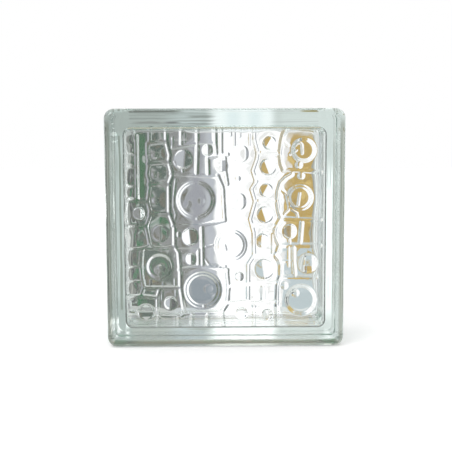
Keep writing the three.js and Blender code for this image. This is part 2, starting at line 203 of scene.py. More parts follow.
# right, up, radius, rise; a dimple where the rise is below zero
DOMES = [
    (65.2, -27.7, 8, 1.7), (57.5, 49.8, 3.1, 0.9), (59.4, 41.3, 3, 0.8), (46.6, -45.4, 3, 0.6),
    (9.8, 39.5, 2.6, 0.7), (12.7, -67, 5, 1.2), (-54.6, 22.3, 2.7, 0.7), (-55.3, 42.7, 2.2, 0.5),
    (-51.4, 42.5, 1.8, 0.4), (-54.6, 57.5, 3, 0.5), (10.4, 66.8, 1.3, 0.2), (8, 29.7, 1.3, 0.2),
    (28.7, -4.4, 1.5, 0.4), (55.4, -51.6, 3.4, 0.7), (-50.4, -30.6, 3.4, 0.5), (-29.6, 19.4, 3.4, 0.32),
    (-18.6, 21.9, 3, -0.24), (-13.7, -47.8, 4, -0.26), (-16.9, -61.5, 1.6, 0.3), (-21.6, 8, 1.8, 0.3),
    (-11.3, -48.4, 4, 0.25), (-51.4, -39.7, 1.3, 0.3), (31.4, -39.8, 1.3, 0.3), (-52.1, -32.7, 4.5, 0.6),
]

# right, up, outer radius of the first step, of the second step, and of the disc
ROUNDELS = [
    (-23.1, 22.8, 15.6, 13.6, 8), (-18.1, -48.6, 15.2, 12.7, 8), (59.7, -56.8, 13, 11.2, 8),
    (58.5, 24.4, 10.9, 8.6, 6), (61.4, 61.3, 10.2, 8.4, 6), (-51.9, -29.8, 10.8, 9.6, 6.5),
    (4.4, -13, 13.2, 11, 8),
]

# low x, high x, low z, high z and rise of each pillowed cell
PILLOWS = [
    (-59.1, -46.6, 52.8, 66, 0.35), (-59.1, -45.6, 36.6, 50.3, 0.35), (-59.1, -46.6, 13.5, 33.6, 0.35),
    (-59.1, -43.2, -12, 10.6, 0.3), (-77, -55.1, -79, -55.2, 0.2), (-51.6, -36.3, -67, -48.4, 0.25),
    (-43.2, -24.5, 68.5, 79, 0.25), (-42.2, -24.5, 44.9, 62.6, 0.3), (-40.2, -19.6, -15, 1.2, 0.3),
    (-35.3, -22.6, -28.7, -17.9, 0.3), (25.5, 41.2, 4.2, 20.4, 0.2), (25.5, 41.2, 23.3, 39, 0.2),
    (25.5, 41.2, 42, 56.7, 0.2), (26.5, 43.2, 60.6, 78, 0.2), (45.1, 72.6, 47.4, 78, 0.2),
    (45.1, 72.6, 9.1, 43.9, 0.2), (55.4, 72.6, -37.1, -15, 0.25), (45.1, 72.6, -78, -40.5, 0.25),
]

# low z and high z of the cells along the left wall
LEFT_CELLS = [
    (59.2, 78), (50.8, 58.2), (49, 50), (34.3, 47.9), (24.3, 32.9), (3, 22.1), (-15, 1.8), (-29.3, -16.1),
    (-40.7, -30.3), (-52.8, -41.7), (-75.9, -54),
]


# ---- What a user can change ----


def millimetres(name, description, default):
    return bpy.props.FloatProperty(name=name, description=description + ", mm", default=default, min=0)


def share(name, description, default):
    return bpy.props.FloatProperty(
        name=name, description=description, default=default, min=0, max=1, subtype="FACTOR"
    )


def colour(name, description, default):
    return bpy.props.FloatVectorProperty(
        name=name, description=description, default=default, size=4, subtype="COLOR", min=0, max=1
    )


class BlockSizes(bpy.types.PropertyGroup):
    """Sizes of the glass, in millimetres."""

    pane: millimetres("Pane", "Thickness of each pane", 7.5)
    face_corner: millimetres("Face corner", "Radius of the block's corners from the front", 8.0)
    face_edge: millimetres("Face edge", "Rounding between a pane and the side of its lip", 6.0)
    land: millimetres("Lip band", "Width of the flat band on a lip", 7.0)
    shoulder: millimetres("Shoulder", "Width of the slope from a lip to the rim", 4.0)
    recess: millimetres("Mortar key", "Depth of the rim below the lips", 4.0)
    rim: millimetres("Rim", "Wall of the hollow under the mortar key", 8.5)
    draft: millimetres("Draft", "How much a cup widens to its mouth, each side", 2.0)
    hollow_corner: millimetres("Hollow corner", "Radius of the hollow's corners from the front", 4.0)
    fillet: millimetres("Fillet", "Rounding between a pane and the walls of the hollow", 2.5)
    bead_height: millimetres("Seam bead", "Height of the bead along the fused seam", 1.5)
    bead_width: millimetres("Seam bead width", "Share of that bead on each cup", 5.0)


class ReliefSizes(bpy.types.PropertyGroup):
    """Sizes of the relief, in millimetres."""

    grid: millimetres("Grid", "Spacing of the relief's mesh", 0.57)
    broad_reach: millimetres("Broad rib", "Half width of a broad rib at its foot", 2.1)
    broad_height: millimetres("Broad rib height", "Height of a broad rib at its ridge", 0.85)
    flat_reach: millimetres("Flat rib", "Half width of a flat rib at its foot", 1.6)
    flat_side: millimetres("Flat rib side", "Width of a flat rib's steep side", 0.7)
    flat_height: millimetres("Flat rib height", "Height of a flat rib", 0.55)
    fine_reach: millimetres("Fine rib", "Half width of a fine rib at its foot", 1.1)
    fine_height: millimetres("Fine rib height", "Height of a fine rib", 0.45)
    step_width: millimetres("Step", "Width of the slope of a roundel's step", 1.7)
    step_height: millimetres("Step height", "Height of a roundel's step", 0.75)
    disc_rise: millimetres("Disc rise", "Rise of a roundel's disc to its middle", 0.3)


class GlassLook(bpy.types.PropertyGroup):
    """Colour and finish of the glass."""

    tint: colour("Tint", "Colour that light keeps as it goes through the glass", (0.76, 0.9, 0.85, 1))
    density: bpy.props.FloatProperty(
        name="Tint density", description="How fast light takes the tint on, per metre", default=7.0, min=0
    )
    key_roughness: share("Side roughness", "Roughness of the sides that mortar grips", 0.12)
    key_clearness: share("Side clearness", "Share of light the rough sides let through", 0.85)
    index: bpy.props.FloatProperty(
        name="Refractive index", description="Refractive index of the glass", default=1.52, min=1, max=2
    )


class StudioLook(bpy.types.PropertyGroup):
    """The floor and the camera."""

    lens: bpy.props.FloatProperty(
        name="Lens", description="Focal length on a 36 mm wide sensor", default=60.9, min=1, unit="CAMERA"
    )
    distance: bpy.props.FloatProperty(
        name="Distance", description="Camera's distance from the front pane", default=0.6, unit="LENGTH"
    )
    height: bpy.props.FloatProperty(
        name="Height", description="Camera's height above the floor", default=0.1564, unit="LENGTH"
    )
    floor: colour("Floor", "Colour of the floor", (0.97, 0.97, 0.97, 1))


# ---- The outside of the block ----

CORNER_STEPS = 14
EDGE_STEPS = 10
BEAD_STEPS = 6
FLAT_MARGIN = 1.0  # a pane's flat face starts this far inside its rounded edge
SHOULDER_SOFTENING = 0.8  # rounding of the edges of the shoulder
LEAST_RADIUS = 1.0  # of the corners of the inner levels


def rounded_outline(half_x, half_z, radius, steps):
    """Points of a rounded rectangle as (x, z) rows, from the right side up and round by the left."""
    points = []
    for corner, (sign_x, sign_z) in enumerate([(1, 1), (-1, 1), (-1, -1), (1, -1)]):
        turn = (corner + np.linspace(0, 1, steps + 1)) * (math.pi / 2)
        x = sign_x * (half_x - radius) + radius * np.cos(turn)
        z = sign_z * (half_z - radius) + radius * np.sin(turn)
        points.append(np.column_stack([x, z]))
    return np.concatenate(points)


def bridge(first, second, count):
    """Quads between two rings of the same number of points, that start at these vertex numbers."""
    i = np.arange(count)
    j = (i + 1) % count
    return np.column_stack([first + i, second + i, second + j, first + j])


def outer_levels(sizes):
    """Inset and distance from the seam of each level of a cup's outside, from the pane to the seam."""
    half_depth = BLOCK_DEPTH / 2
    levels = [(sizes.face_edge + FLAT_MARGIN, half_depth)]
    for step in range(EDGE_STEPS + 1):
        turn = step / EDGE_STEPS * math.pi / 2
        inset, drop = (sizes.face_edge * (1 - wave(turn)) for wave in (math.sin, math.cos))
        levels.append((inset, half_depth - drop))
    land_end = half_depth - sizes.face_edge - sizes.land
    shoulder_end = land_end - sizes.shoulder
    # Three points round an edge of the shoulder: how far in, and how far from the seam beside the edge.
    soft = SHOULDER_SOFTENING
    softened = [(0, soft), (0.1 * soft, 0.3 * soft), (0.6 * soft, -0.6 * soft)]
    levels += [(inward, land_end + away) for inward, away in softened]
    levels += [(sizes.recess - inward, shoulder_end - away) for inward, away in reversed(softened)]
    levels.append((sizes.recess, sizes.bead_width))
    for step in range(1, BEAD_STEPS + 1):
        turn = step / BEAD_STEPS * math.pi
        rise = sizes.bead_height * (1 - math.cos(turn)) / 2
        levels.append((sizes.recess - rise, sizes.bead_width * (1 - step / BEAD_STEPS)))
    return levels


def outer_shell(sizes):
    """Vertices and faces of the block's outside, and which of the faces are the keyed sides."""
    half_x, half_z = BLOCK_WIDTH / 2, BLOCK_HEIGHT / 2
    levels = outer_levels(sizes)
    both = [(inset, -away) for inset, away in levels] + [(inset, away) for inset, away in levels[-2::-1]]
    rings = []
    for inset, y in both:
        radius = max(sizes.face_corner - inset, LEAST_RADIUS)
        ring = rounded_outline(half_x - inset, half_z - inset, radius, CORNER_STEPS)
        rings.append(np.column_stack([ring[:, 0], np.full(len(ring), y), ring[:, 1]]))
    count = len(rings[0])
    land_end = BLOCK_DEPTH / 2 - sizes.face_edge - sizes.land
    faces = []
    keyed = []
    for ring in range(len(rings) - 1):
        faces += bridge(ring * count, (ring + 1) * count, count).tolist()
        keyed += [max(abs(both[ring][1]), abs(both[ring + 1][1])) < land_end] * count
    faces.append(list(range(count)))
    last = (len(rings) - 1) * count
    faces.append(list(range(last + count - 1, last - 1, -1)))
    return np.concatenate(rings), faces, keyed + [False, False]


# ---- The relief ----


def distance_to_line(x, z, line):
    """Distance of each point to a line of straight stretches."""
    nearest = np.full(x.shape, np.inf)
    for (ax, az), (bx, bz) in zip(line, line[1:]):
        dx, dz = bx - ax, bz - az
        along = np.clip(((x - ax) * dx + (z - az) * dz) / (dx * dx + dz * dz), 0, 1)
        nearest = np.minimum(nearest, np.hypot(x - ax - along * dx, z - az - along * dz))
    return nearest


def smooth_step(x):
    """From 0 to 1 with no slope at either end."""
    t = np.clip(x, 0, 1)
    return t * t * (3 - 2 * t)


def ramp(x):
    """From 0 to 1 in a straight slope with softened ends."""
    soft = 0.2
    return sum(np.clip((x - shift) / (1 - soft), 0, 1) for shift in (0, soft)) / 2


def tread(away, reach, side):
    """A rib's section: full height inside, a straight slope as wide as side down to its foot."""
    return ramp((reach - away) / side)


def ribs_height(x, z, lines, reach, side, height):
    """Ribs that flow into one another where they meet."""
    flow = 0.4  # how far off a rib is drawn towards its neighbour
    tiny = 1e-12  # keeps the logarithm finite far from any rib
    near = sum(np.exp(-distance_to_line(x, z, line) / flow) for line in lines)
    return height * tread(-flow * np.log(near + tiny), reach, side)


def lens_height(x, z, radius, lean, place, slope):
    """A round button under a roof: two flat slopes that meet in a ridge."""
    turn = math.radians(lean)
    across = x * math.cos(turn) - z * math.sin(turn)
    lip, edge, soft = 0.05, 0.75, 0.1  # height and width of the rim under the roof, and how soft its ridge is
    ridge = slope * radius
    left = ridge * (radius + across) / (radius * (1 + place))
    right = ridge * (radius - across) / (radius * (1 - place))
    roof = (left + right - np.sqrt((left - right) ** 2 + soft**2)) / 2 + lip
    return np.maximum(roof, 0) * ramp((radius - np.hypot(x, z)) / edge)


def dome_height(away, radius, rise):
    """A cap cut off a ball, standing up where rise is above 0 and sunk where it is below."""
    deep = abs(rise)
    ball = (radius * radius + deep * deep) / (2 * deep)
    cap = np.sqrt(np.maximum(ball * ball - away * away, 0)) - ball + deep
    return math.copysign(1, rise) * np.maximum(cap, 0)


def roundel_height(away, first, second, disc, relief):
    """Two steps up from the pane, and a disc that swells inside them."""
    steps = tread(away, first, relief.step_width) + tread(away, second, relief.step_width)
    swelling = relief.disc_rise * np.clip(1 - (away / disc) ** 2, 0, 1)
    return relief.step_height * steps + swelling


def swell(x, z):
    """Slow unevenness of pressed glass, from a few crossing waves."""
    # turn a millimetre along x and along z, in radians, phase, and height
    waves = [
        (0.11, 0.05, 0.3, 0.05),
        (-0.06, 0.13, 1.7, 0.05),
        (0.21, -0.17, 4.1, 0.02),
        (0.02, 0.29, 2.2, 0.02),
    ]
    return sum(height * np.sin(turn_x * x + turn_z * z + phase) for turn_x, turn_z, phase, height in waves)


def banks(x, z):
    """Along the left wall the pane thins toward the wall, in cells that bulge at their middles."""
    start, narrow, bulge = 70, 76.0, 1.2  # where the thinning starts and ends, and how much later at middles
    curve = 0.0135  # depth of the thinning, over the square of how far in it has got
    end, ridge = 0.5, 0.65  # height of the slope at a cell's end, and the share of the depth left beyond it
    past = 1.3  # where that share ends, in half heights of the cell
    thinned = np.zeros(x.shape)
    for low, high in LEFT_CELLS:
        upward = np.abs((2 * z - low - high) / (high - low))
        reach = np.clip(np.minimum(-x, narrow + bulge * (1 - upward**2)) - start, 0, None)
        inside = smooth_step((1 - upward) * (high - low) / 2 / end)
        depth = curve * reach**2 * (ridge + (1 - ridge) * inside)
        thinned = np.maximum(thinned, depth * (upward < past))
    return -thinned


def relief_height(x, z, relief):
    """Height of the relief over the pane at points in the layout's millimetres."""
    sharpness = 4  # how crisply ribs and lenses meet
    total = np.zeros(x.shape)

    def add(height):
        nonlocal total
        total += np.maximum(height, 0) ** sharpness

    add(ribs_height(x, z, BROAD_RIBS, relief.broad_reach, relief.broad_reach, relief.broad_height))
    add(ribs_height(x, z, FLAT_RIBS, relief.flat_reach, relief.flat_side, relief.flat_height))
    add(ribs_height(x, z, FINE_RIBS, relief.fine_reach, relief.fine_reach, relief.fine_height))
    for right, up, radius, lean, place, slope in LENSES:
        add(lens_height(x - right, z - up, radius, lean, place, slope))
    ground = swell(x, z) + banks(x, z)
    for right, up, first, second, disc in ROUNDELS:
        ground += roundel_height(np.hypot(x - right, z - up), first, second, disc, relief)
    for right, up, radius, rise in DOMES:
        ground += dome_height(np.hypot(x - right, z - up), radius, rise)
    for low_x, high_x, low_z, high_z, rise in PILLOWS:
        across = (2 * x - low_x - high_x) / (high_x - low_x)
        upward = (2 * z - low_z - high_z) / (high_z - low_z)
        ground += rise * np.clip(1 - across**2, 0, 1) * np.clip(1 - upward**2, 0, 1)
    return total ** (1 / sharpness) + ground


# ---- The hollow ----

FILLET_STEPS = 6
GROOVE_DEPTH = 0.3  # the fused seam leaves a fine groove in the hollow's walls
GROOVE_REACH = 1.2


def square_to_rounded(u, v, half_x, half_z, radius):
    """Carries a square grid onto a rounded rectangle, bending only its corners."""
    x, z = u * half_x, v * half_z
    a = np.clip((np.abs(x) - (half_x - radius)) / radius, 0, 1)
    b = np.clip((np.abs(z) - (half_z - radius)) / radius, 0, 1)
    inner_x, inner_z = np.minimum(np.abs(x), half_x - radius), np.minimum(np.abs(z), half_z - radius)
    out_x = inner_x + radius * a * np.sqrt(1 - b * b / 2)
    out_z = inner_z + radius * b * np.sqrt(1 - a * a / 2)
    return np.sign(x) * out_x, np.sign(z) * out_z


def pane_grid(half_x, half_z, pane_y, corner, relief):
    """The patterned pane as a grid: its points, and the number of each in rows from the foot up."""
    cells = int(round(2 * half_x / relief.grid))
    step = np.linspace(-1, 1, cells + 1)
    v, u = np.meshgrid(step, step, indexing="ij")
    x, z = square_to_rounded(u, v, half_x, half_z, corner)
    to_layout = LAYOUT_HALF / half_x
    height = relief_height(x * to_layout, z * to_layout, relief)
    points = np.column_stack([x.ravel(), (height - pane_y).ravel(), z.ravel()])
    return points, np.arange(len(points)).reshape(cells + 1, cells + 1)


def hollow_rings(start, outward, half_x, pane_y, sizes, relief):
    """The rings of points from the patterned pane over the walls to the plain pane."""
    to_layout = LAYOUT_HALF / half_x

    def ring(out, y):
        place = start + outward * out
        return np.column_stack([place[:, 0], np.full(len(start), y), place[:, 1]])

    fillet = []
    rings = []
    for k in range(1, FILLET_STEPS + 1):
        turn = k / FILLET_STEPS * math.pi / 2
        out, rise = sizes.fillet * math.sin(turn), sizes.fillet * (1 - math.cos(turn))
        fillet.append((out, pane_y - rise))
        # The relief runs onto the fillet, and fades out where the wall begins.
        lower = ring(out, rise - pane_y)
        carried = relief_height(lower[:, 0] * to_layout, lower[:, 2] * to_layout, relief) * math.cos(turn)
        lower[:, [0, 2]] -= outward * (carried * math.sin(turn))[:, None]
        lower[:, 1] += carried * math.cos(turn)
        rings.append(lower)
    mouth = sizes.draft + sizes.fillet
    groove = [(mouth - GROOVE_DEPTH, -GROOVE_REACH), (mouth, 0.0), (mouth - GROOVE_DEPTH, GROOVE_REACH)]
    plain = [(0.0, pane_y), (-FLAT_MARGIN, pane_y)]
    return rings + [ring(out, y) for out, y in groove + fillet[::-1] + plain]


def hollow_shell(sizes, relief):
    """Vertices and faces of the hollow's surface: the patterned pane, the walls and the plain pane."""
    narrowed = sizes.draft + sizes.fillet
    half_x = BLOCK_WIDTH / 2 - sizes.recess - sizes.rim - narrowed
    half_z = BLOCK_HEIGHT / 2 - sizes.recess - sizes.rim - narrowed
    pane_y = BLOCK_DEPTH / 2 - sizes.pane
    corner = sizes.hollow_corner
    pane, number = pane_grid(half_x, half_z, pane_y, corner, relief)
    quads = np.stack([number[:-1, :-1], number[1:, :-1], number[1:, 1:], number[:-1, 1:]], axis=-1)
    faces = [quads.reshape(-1, 4)]

    # The boundary of the grid, anticlockwise in X and Z from its low corner, and the way out from it.
    loop = np.concatenate([number[0, :-1], number[:-1, -1], number[-1, :0:-1], number[:0:-1, 0]])
    count = len(loop)
    start = pane[loop][:, [0, 2]]
    core = np.array([half_x - corner, half_z - corner])
    outward = start - np.clip(start, -core, core)
    outward /= np.linalg.norm(outward, axis=1, keepdims=True)

    rings = hollow_rings(start, outward, half_x, pane_y, sizes, relief)
    base = len(pane)
    around = base + np.arange(count)
    faces.append(np.column_stack([loop, np.roll(loop, -1), np.roll(around, -1), around]))
    for k in range(len(rings) - 1):
        faces.append(bridge(base + (k + 1) * count, base + k * count, count))
    last = base + (len(rings) - 1) * count
    listed = np.concatenate(faces).tolist()
    listed.append(list(range(last, last + count)))
    return np.concatenate([pane, *rings]), listed


def glass_mesh(name, sizes, relief):
    """The whole glass body: its outside, and the hollow inside it."""
    outer_points, outer_faces, keyed = outer_shell(sizes)
    inner_points, inner_faces = hollow_shell(sizes, relief)
    offset = len(outer_points)
    points = np.concatenate([outer_points, inner_points]) * MM
    points[:, 2] += BLOCK_HEIGHT / 2 * MM
    faces = outer_faces + [[offset + i for i in face] for face in inner_faces]
    mesh = bpy.data.meshes.new(name)
    mesh.from_pydata(points.tolist(), [], faces)
    mesh.polygons.foreach_set("material_index", keyed + [False] * len(inner_faces))
    mesh.shade_smooth()
    mesh.validate()
    return mesh


# ---- Shaders ----

WHITE = (1.0, 1.0, 1.0, 1.0)


class Value:
    """A number carried by a socket, so that shader maths reads as Python."""

    def __init__(self, shader, socket):
        self.shader = shader
        self.socket = socket

    def maths(self, operation, *terms):
        return self.shader.value("ShaderNodeMath", 0, {"operation": operation}, dict(enumerate(terms)))

    def __add__(self, other):
        return self.maths("ADD", self, other)

    __radd__ = __add__

    def __sub__(self, other):
        return self.maths("SUBTRACT", self, other)

    def __rsub__(self, other):
        return self.maths("SUBTRACT", other, self)

    def __mul__(self, other):
        return self.maths("MULTIPLY", self, other)

    __rmul__ = __mul__

    def __truediv__(self, other):
        return self.maths("DIVIDE", self, other)

    def __rtruediv__(self, other):
        return self.maths("DIVIDE", other, self)

    def at_least(self, other):
        return self.maths("MAXIMUM", self, other)

    def rises(self, low, high):
        """From 0 at low to 1 at high, smoothly."""
        slope = {"Value": self, "From Min": low, "From Max": high}
        return self.shader.value("ShaderNodeMapRange", "Result", {"interpolation_type": "SMOOTHSTEP"}, slope)

    def past(self, edge, fade):
        """1 past the edge and 0 before it, with a slope that reaches the fade to either side."""
        return self.rises(edge - fade, edge + fade)


class Shader:
    """A node tree under construction."""

    def __init__(self, tree):
        self.tree = tree
        tree.nodes.clear()

    def node(self, kind, settings=None, inputs=None):
        """Adds one node: its settings first, then the values or links of its sockets."""
        made = self.tree.nodes.new(kind)
        for name, setting in (settings or {}).items():
            setattr(made, name, setting)
        for name, given in (inputs or {}).items():
            source = given.socket if isinstance(given, Value) else given
            if isinstance(source, bpy.types.NodeSocket):
                self.tree.links.new(source, made.inputs[name])
            else:
                made.inputs[name].default_value = source
        return made

    def value(self, kind, output, settings=None, inputs=None):
        """Adds one node and gives one of its outputs."""
        return Value(self, self.node(kind, settings, inputs).outputs[output])

    def place(self):
        """The point being shaded, as three numbers in metres."""
        spot = self.node("ShaderNodeTexCoord").outputs["Object"]
        parts = self.node("ShaderNodeSeparateXYZ", inputs={"Vector": spot})
        return [Value(self, parts.outputs[axis]) for axis in "XYZ"]

    def blend(self, factor, first, second):
        """One colour turning into another."""
        made = self.node("ShaderNodeMix", {"data_type": "RGBA"}, {"Factor": factor, 6: first, 7: second})
        return made.outputs[2]

    def grain(self, scale, detail):
        """Smooth noise all through the object, with this many bumps to a metre."""
        place = self.node("ShaderNodeTexCoord").outputs["Object"]
        return self.noise(place, scale, detail)

    def noise(self, spot, scale=1.0, detail=1.0):
        """Smooth noise, by itself with bumps about one unit wide."""
        inputs = {"Vector": spot, "Scale": scale, "Detail": detail}
        return self.value("ShaderNodeTexNoise", "Fac", inputs=inputs)


def new_material(name):
    """An empty material, and the shader to fill it with."""
    material = bpy.data.materials.new(name)
    material.use_nodes = True
    return material, Shader(material.node_tree)


def finish_glass(shader, look, surface_inputs):
    """Ends a glass: its surface, and the tint that light takes on inside it."""
    surface = shader.node("ShaderNodeBsdfPrincipled", inputs={"IOR": look.index, **surface_inputs})
    depth = shader.node("ShaderNodeVolumeAbsorption", inputs={"Color": look.tint, "Density": look.density})
    shader.node(
        "ShaderNodeOutputMaterial", inputs={"Surface": surface.outputs[0], "Volume": depth.outputs[0]}
    )


# Painted shade: a darker strip on the outer edges of the front lips. Each pair is where a slope of it starts
# and ends, in metres:
# out from the middle and up for the sides, up for the foot, and back from the front for both.
SIDE_EDGE_SHADE_RISE = (0.0893, 0.0911)
SIDE_EDGE_SHADE_FALL = (0.0937, 0.0942)
SIDE_EDGE_SHADE_TOP = (0.176, 0.186)
FOOT_EDGE_SHADE_RISE = (0.0009, 0.0014)
FOOT_EDGE_SHADE_FALL = (0.0046, 0.0062)
EDGE_SHADE_BACK = (-0.03, -0.02)
EDGE_SHADE_COLOUR = (0.38, 0.37, 0.32, 1.0)
QUICK_SHARE = 0.15  # of the short waves beside the long ones


def clear_glass(look):
    """Fire-polished glass, a little wavy, with painted shade darkening the outer edges of its front lips."""
    material, shader = new_material("clear_green_glass")
    waves = shader.grain(45.0, 1.0) + QUICK_SHARE * shader.grain(160.0, 0.0)
    bump = shader.node("ShaderNodeBump", inputs={"Height": waves, "Strength": 1.0, "Distance": 0.00025})
    x, y, z = shader.place()
    # Painted shade: where the outer edges of the front lips are darkened in the glass's colour.
    beside = x.maths("ABSOLUTE", x)
    sides = (beside.rises(*SIDE_EDGE_SHADE_RISE) - beside.rises(*SIDE_EDGE_SHADE_FALL)) * (1 - z.rises(*SIDE_EDGE_SHADE_TOP))
    foot = z.rises(*FOOT_EDGE_SHADE_RISE) - z.rises(*FOOT_EDGE_SHADE_FALL)
    painted_edge_shade = sides.at_least(foot) * (1 - y.rises(*EDGE_SHADE_BACK))
    surface_inputs = {
        "Base Color": shader.blend(painted_edge_shade, WHITE, EDGE_SHADE_COLOUR),
        "Roughness": 0.0,
        "Transmission Weight": 1.0,
        "Normal": bump.outputs["Normal"],
    }
    finish_glass(shader, look, surface_inputs)
    return material


def keyed_glass(look):
    """The rough sides that mortar grips, which turn what shows through the rim milky."""
    material, shader = new_material("keyed_glass")
    grain = shader.grain(900.0, 2.0)
    bump = shader.node("ShaderNodeBump", inputs={"Height": grain, "Strength": 0.4, "Distance": 0.0004})
    surface_inputs = {
        "Base Color": (0.9, 0.95, 0.93, 1.0),
        "Roughness": look.key_roughness,
        "Transmission Weight": look.key_clearness,
        "Normal": bump.outputs["Normal"],
    }
    finish_glass(shader, look, surface_inputs)
    return material


CARD_LIGHT = 1.2
NOISE_FADE = 0.06  # how sharply the noise of a patch breaks it up
NOISE_APART = 10.0  # takes each patch to a noise of its own


def painted_card(name, ground, patches, axes="XZ"):
    """A card that shows its own colours, whatever light falls on it, in soft-edged patches along two axes.

    A patch may end in the two sizes and the threshold of a noise that breaks it up, into specks or streaks.
    """
    material, shader = new_material(name)
    place = dict(zip("XYZ", shader.place()))
    x, z = (place[axis] / MM for axis in axes)
    shown = (*ground, 1.0)
    for number, patch in enumerate(patches):
        low_x, high_x, low_z, high_z, side_fade, end_fade, patch_colour, *broken = patch
        across = x.past(low_x, side_fade) - x.past(high_x, side_fade)
        upward = z.past(low_z, end_fade) - z.past(high_z, end_fade)
        covered = across * upward
        if broken:
            size_x, size_z, threshold = broken
            spot = {0: x / size_x, 1: z / size_z, 2: NOISE_APART * number}
            noise = shader.noise(shader.node("ShaderNodeCombineXYZ", inputs=spot).outputs[0])
            covered = covered * noise.past(threshold, NOISE_FADE)
        shown = shader.blend(covered, shown, (*patch_colour, 1.0))
    glow = shader.node("ShaderNodeEmission", inputs={"Color": shown, "Strength": CARD_LIGHT})
    shader.node("ShaderNodeOutputMaterial", inputs={"Surface": glow.outputs[0]})
    return material


def white_floor(base):
    """A matt floor that meets the white behind it: for the camera it glows a little, under its shadows."""
    material, shader = new_material("pale_floor")
    surface = shader.node("ShaderNodeBsdfPrincipled", inputs={"Base Color": base, "Roughness": 0.9})
    glow = shader.node("ShaderNodeEmission", inputs={"Color": WHITE, "Strength": 0.2})
    glowing = shader.node("ShaderNodeAddShader", inputs={0: surface.outputs[0], 1: glow.outputs[0]})
    seen = shader.node("ShaderNodeLightPath").outputs["Is Camera Ray"]
    shown = shader.node(
        "ShaderNodeMixShader", inputs={0: seen, 1: surface.outputs[0], 2: glowing.outputs[0]}
    )
    shader.node("ShaderNodeOutputMaterial", inputs={"Surface": shown.outputs[0]})
    return material


# ---- What stands behind the glass ----
# Each card glows in its own colours, and only rays that have come through the glass meet it.
# A patch is low x, high x, low z, high z, fade of the sides, fade of the top and foot, in millimetres, and
# colour, and for specks or streaks also the size along x and along z and the threshold of their noise.

FAR = 2000
BACKDROP_GROUND = (0.5, 0.52, 0.5)
BACKDROP_PATCHES = [
    # Beyond the bands: left, right and above.
    (-300, -117, -45, 182, 6, 4, (0.045, 0.05, 0.045)),
    (165, 195, -45, 250, 8, 8, (0.14, 0.15, 0.15)),
    (195, FAR, -45, 250, 12, 8, (0.42, 0.44, 0.42)),
    (-FAR, FAR, 250, FAR, 20, 15, (0.35, 0.36, 0.36)),
    (-300, -40, 182, 250, 4, 3, (0.3, 0.31, 0.3)),
    (-40, -8, 182, 250, 6, 3, (0.5, 0.5, 0.51)),
    # Down the right side.
    (121, 138, -FAR, 250, 3, 8, (0.75, 0.77, 0.76)),
    (138, 165, -FAR, 250, 5, 8, (0.42, 0.44, 0.41)),
    (136, 166, 116, 190, 5, 8, (0.4, 0.35, 0.22)),
    (120, 172, -170, -32, 4, 6, (0.03, 0.035, 0.035)),
    (138, 172, -32, -12, 4, 6, (0.1, 0.11, 0.11)),
    (126, 166, -6, 34, 4, 5, (0.5, 0.36, 0.09)),
    # Upright bands, from the left to the white middle.
    (-117, -104, -45, 182, 2, 3, (0.055, 0.062, 0.052)),
    (-104, -76, -45, 182, 2, 3, (0.058, 0.086, 0.066)),
    (-95, -80, -6, 10, 3, 3, (0.17, 0.15, 0.07)),
    (-76, -40, -45, 182, 4, 3, (0.19, 0.195, 0.19)),
    (-40, -20, -45, 182, 8, 3, (0.265, 0.27, 0.3)),
    (-20, -8, -45, 182, 6, 3, (0.4, 0.42, 0.46)),
    (-8, 80, -FAR, 245, 3, 5, (0.97, 0.97, 0.97)),
    # The ochre board, and what is beside and below it.
    (80, 119, 178, 250, 3, 4, (0.8, 0.79, 0.76)),
    (80, 109, 41, 174, 1.5, 6, (0.42, 0.275, 0.05)),
    (79, 84, 128, 172, 1, 4, (0.7, 0.69, 0.67)),
    (109, 124, 41, 174, 1.5, 6, (0.26, 0.27, 0.24)),
    (113, 125, 45, 66, 2, 4, (0.3, 0.2, 0.06)),
    (75, 121, -45, 38, 3, 4, (0.43, 0.5, 0.52)),
    # The foot.
    (-FAR, -20, -FAR, -45, 20, 3, (0.46, 0.48, 0.45)),
    (80, FAR, -FAR, -45, 20, 3, (0.55, 0.57, 0.54)),
    # Specks and streaks over the bands.
    (-117, -44, -45, 180, 4, 4, (0.105, 0.1, 0.07), 10, 12, 0.57),
    (-300, -70, -45, 180, 4, 4, (0.035, 0.13, 0.055), 14, 24, 0.58),
    (-300, -40, -45, 180, 4, 4, (0.34, 0.37, 0.35), 9, 11, 0.65),
    (82, 109, 43, 172, 2, 6, (0.57, 0.41, 0.12), 14, 14, 0.57),
    (82, 109, 43, 172, 2, 6, (0.33, 0.22, 0.05), 11, 11, 0.63),
    (-38, -13, -30, -3, 4, 4, (0.19, 0.225, 0.255)),
    (-78, -60, -6, 32, 4, 4, (0.062, 0.085, 0.064)),
    (88, 118, -4, 36, 3, 4, (0.42, 0.3, 0.08), 9, 9, 0.53),
    (30, 80, -45, 240, 8, 6, (0.74, 0.735, 0.725), 10, 10, 0.55),
    (-104, -95, 97, 174, 1.5, 5, (0.025, 0.1, 0.034)),
]
